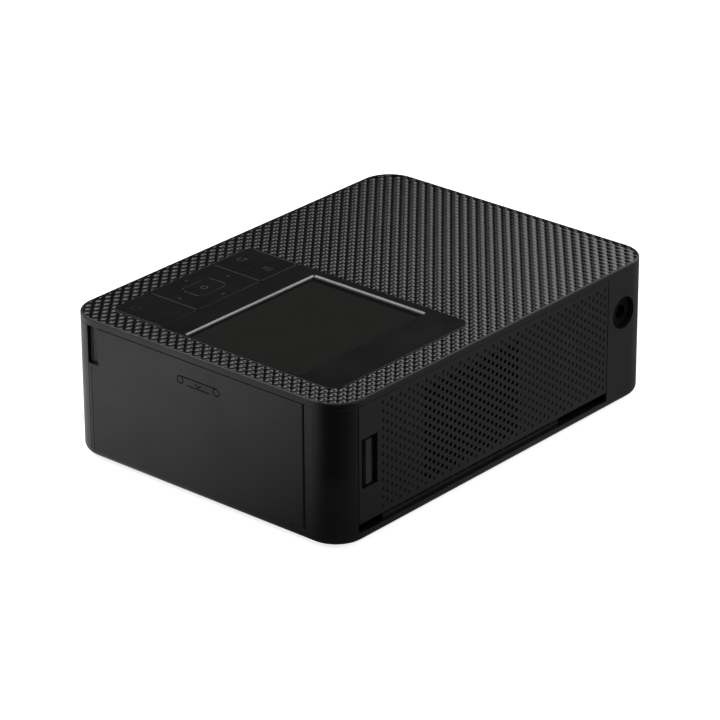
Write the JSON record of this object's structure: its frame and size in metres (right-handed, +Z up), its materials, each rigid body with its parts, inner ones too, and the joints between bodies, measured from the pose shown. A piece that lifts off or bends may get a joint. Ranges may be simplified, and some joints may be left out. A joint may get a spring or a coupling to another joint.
{
  "type": "compact photo printer",
  "caption": "Compact desktop photo printer with a textured lid, control panel with display, hinged ink door, front cassette cover and vented back.",
  "frame": {"origin": "middle of the base's footprint, on the surface that the feet stand on", "axes": "+X to the printer's right seen from its front, +Y to its back, +Z up"},
  "size_m": [0.1822, 0.133, 0.0576],
  "materials": {
    "matte_black": "fine matte texture",
    "gloss_black": "polished",
    "display_glass": "clear dark window",
    "display_frame": "satin",
    "rubber": "matte",
    "steel": "plated",
    "brass": "turned",
    "aluminium": "extruded",
    "ceramic": "glazed ceramic",
    "board_green": "solder mask",
    "light_plastic": "satin",
    "gear_plastic": "moulded",
    "cassette_plastic": "satin",
    "ribbon_film": "film",
    "inner_black": "moulded",
    "component_black": "moulded"
  },
  "bodies": {
    "printer_body": {"base_shell": "matte_black", "top_cover": "matte_black", "front_bezel": "matte_black", "rear_grille": "matte_black", "control_panel": "gloss_black", "lcd_window": "display_glass", "lcd_module": "display_frame", "rubber_feet": "rubber", "case_screws": "steel", "left_frame": "steel", "right_frame": "steel", "front_cross_plate": "steel", "rear_cross_plate": "steel", "gear_studs": "steel", "feed_motor": "steel", "shaft_bushes": "brass", "button_board": "board_green", "main_board": "board_green", "card_board": "board_green", "dome_switches": "light_plastic", "dc_jack": "inner_black", "battery_catch": "inner_black", "paper_guide": "inner_black", "fan_frame": "inner_black", "board_components": "component_black", "usb_port": "steel", "card_socket": "steel"},
    "front_cover": {"front_cover": "matte_black"},
    "ink_door": {"ink_door": "matte_black"},
    "ink_cassette": {"ink_cassette_case": "cassette_plastic", "ink_ribbon_web": "ribbon_film"},
    "take_up_spool": {"take_up_spool": "light_plastic", "take_up_roll": "ribbon_film"},
    "supply_spool": {"supply_spool": "light_plastic", "supply_roll": "ribbon_film"},
    "print_head": {"head_carriage": "steel", "heat_sink": "aluminium", "thermal_head": "ceramic"},
    "feed_roller": {"feed_roller": "steel", "feed_gear": "gear_plastic"},
    "pinch_roller": {"pinch_roller": "steel"},
    "platen": {"platen_shaft": "steel", "platen_rubber": "rubber", "platen_gear": "gear_plastic"},
    "pickup_roller": {"pickup_shaft": "steel", "pickup_tyres": "rubber", "pickup_gear": "gear_plastic"},
    "middle_idler": {"middle_idler_gear": "gear_plastic"},
    "pickup_idler": {"pickup_idler_gear": "gear_plastic"},
    "ribbon_idler": {"ribbon_idler_gear": "gear_plastic"},
    "reduction": {"reduction_gear": "gear_plastic"},
    "take_up_drive": {"take_up_gear": "gear_plastic"},
    "motor_rotor": {"motor_shaft": "steel", "motor_pinion": "brass"},
    "fan_rotor": {"fan_rotor": "inner_black"},
    "print_button": {"print_button": "gloss_black"},
    "ok_button": {"ok_button": "gloss_black"},
    "dpad_ring": {"dpad_pivot_ring": "light_plastic"},
    "dpad": {"dpad_plate": "gloss_black"},
    "menu_rocker": {"menu_rocker": "gloss_black"}
  },
  "joints": [
    {"name": "front_cover_hinge", "type": "hinge", "parent": "printer_body", "child": "front_cover", "pos_m": [0.0142, -0.0654, 0.0071], "axis": [1, 0, 0], "range_deg": [0, 90]},
    {"name": "ink_door_hinge", "type": "hinge", "parent": "printer_body", "child": "ink_door", "pos_m": [0.09, 0.049, 0.03], "axis": [0, 0, 1], "range_deg": [0, 90]},
    {"name": "ink_cassette_slide", "type": "slide", "parent": "printer_body", "child": "ink_cassette", "axis": [1, 0, 0], "range_m": [0, 0.04084]},
    {"name": "head_lift", "type": "slide", "parent": "printer_body", "child": "print_head", "axis": [0, 0, 1], "range_m": [-0.0078, 0], "stiffness_N_per_m": 200, "springref_m": 0.01},
    {"name": "feed_roller_spin", "type": "hinge", "parent": "printer_body", "child": "feed_roller", "pos_m": [0.0142, 0.006, 0.0165], "axis": [1, 0, 0], "continuous": true},
    {"name": "pinch_roller_spin", "type": "hinge", "parent": "printer_body", "child": "pinch_roller", "pos_m": [0.0142, 0.006, 0.0243], "axis": [1, 0, 0], "continuous": true},
    {"name": "platen_spin", "type": "hinge", "parent": "printer_body", "child": "platen", "pos_m": [0.0142, -0.0115, 0.018], "axis": [1, 0, 0], "continuous": true},
    {"name": "pickup_roller_spin", "type": "hinge", "parent": "printer_body", "child": "pickup_roller", "pos_m": [0.0142, -0.03, 0.0205], "axis": [1, 0, 0], "continuous": true},
    {"name": "middle_idler_spin", "type": "hinge", "parent": "printer_body", "child": "middle_idler", "pos_m": [-0.0482, -0.00191, 0.02707], "axis": [1, 0, 0], "continuous": true},
    {"name": "pickup_idler_spin", "type": "hinge", "parent": "printer_body", "child": "pickup_idler", "pos_m": [-0.0482, -0.0195, 0.0285], "axis": [1, 0, 0], "continuous": true},
    {"name": "ribbon_idler_spin", "type": "hinge", "parent": "printer_body", "child": "ribbon_idler", "pos_m": [-0.0482, -0.04086, 0.028], "axis": [1, 0, 0], "continuous": true},
    {"name": "reduction_gear_spin", "type": "hinge", "parent": "printer_body", "child": "reduction", "pos_m": [-0.0482, 0.02431, 0.02228], "axis": [1, 0, 0], "continuous": true},
    {"name": "take_up_drive_spin", "type": "hinge", "parent": "printer_body", "child": "take_up_drive", "pos_m": [-0.0482, -0.033, 0.0386], "axis": [1, 0, 0], "continuous": true},
    {"name": "motor_spin", "type": "hinge", "parent": "printer_body", "child": "motor_rotor", "pos_m": [-0.0482, 0.034, 0.036], "axis": [1, 0, 0], "continuous": true},
    {"name": "take_up_spool_spin", "type": "hinge", "parent": "ink_cassette", "child": "take_up_spool", "pos_m": [0.0142, -0.033, 0.0386], "axis": [1, 0, 0], "continuous": true},
    {"name": "supply_spool_spin", "type": "hinge", "parent": "ink_cassette", "child": "supply_spool", "pos_m": [0.0142, 0.01, 0.0386], "axis": [1, 0, 0], "continuous": true},
    {"name": "fan_spin", "type": "hinge", "parent": "printer_body", "child": "fan_rotor", "pos_m": [0.0177, 0.054, 0.033], "axis": [0, 1, 0], "continuous": true},
    {"name": "print_button_press", "type": "slide", "parent": "printer_body", "child": "print_button", "axis": [0, 0, -1], "range_m": [0, 0.0005], "stiffness_N_per_m": 800, "springref_m": -0.0005},
    {"name": "ok_button_press", "type": "slide", "parent": "printer_body", "child": "ok_button", "axis": [0, 0, -1], "range_m": [0, 0.0005], "stiffness_N_per_m": 800, "springref_m": -0.0005},
    {"name": "dpad_tilt_front_back", "type": "hinge", "parent": "printer_body", "child": "dpad_ring", "pos_m": [0.0422, -0.042, 0.056], "axis": [1, 0, 0], "range_deg": [-1.2, 1.2], "stiffness_Nm_per_rad": 0.3},
    {"name": "dpad_tilt_left_right", "type": "hinge", "parent": "dpad_ring", "child": "dpad", "pos_m": [0.0422, -0.042, 0.056], "axis": [0, 1, 0], "range_deg": [-1.2, 1.2], "stiffness_Nm_per_rad": 0.3},
    {"name": "menu_rocker_tilt", "type": "hinge", "parent": "printer_body", "child": "menu_rocker", "pos_m": [0.0144, -0.042, 0.056], "axis": [1, 0, 0], "range_deg": [-1.5, 1.5], "stiffness_Nm_per_rad": 0.2}
  ],
  "couplings": [
    {"joint": "ink_cassette_slide", "follows": "ink_door_hinge", "m_per_rad": 0.026},
    {"joint": "pinch_roller_spin", "follows": "feed_roller_spin", "ratio": -1.5},
    {"joint": "platen_spin", "follows": "feed_roller_spin", "ratio": 1},
    {"joint": "pickup_roller_spin", "follows": "feed_roller_spin", "ratio": 1},
    {"joint": "middle_idler_spin", "follows": "feed_roller_spin", "ratio": -1.2},
    {"joint": "pickup_idler_spin", "follows": "feed_roller_spin", "ratio": -1.2},
    {"joint": "ribbon_idler_spin", "follows": "feed_roller_spin", "ratio": -1.2},
    {"joint": "reduction_gear_spin", "follows": "feed_roller_spin", "ratio": -0.6},
    {"joint": "take_up_drive_spin", "follows": "feed_roller_spin", "ratio": 1},
    {"joint": "motor_spin", "follows": "feed_roller_spin", "ratio": 1.5},
    {"joint": "take_up_spool_spin", "follows": "feed_roller_spin", "ratio": 1},
    {"joint": "supply_spool_spin", "follows": "feed_roller_spin", "ratio": 0.68293}
  ]
}
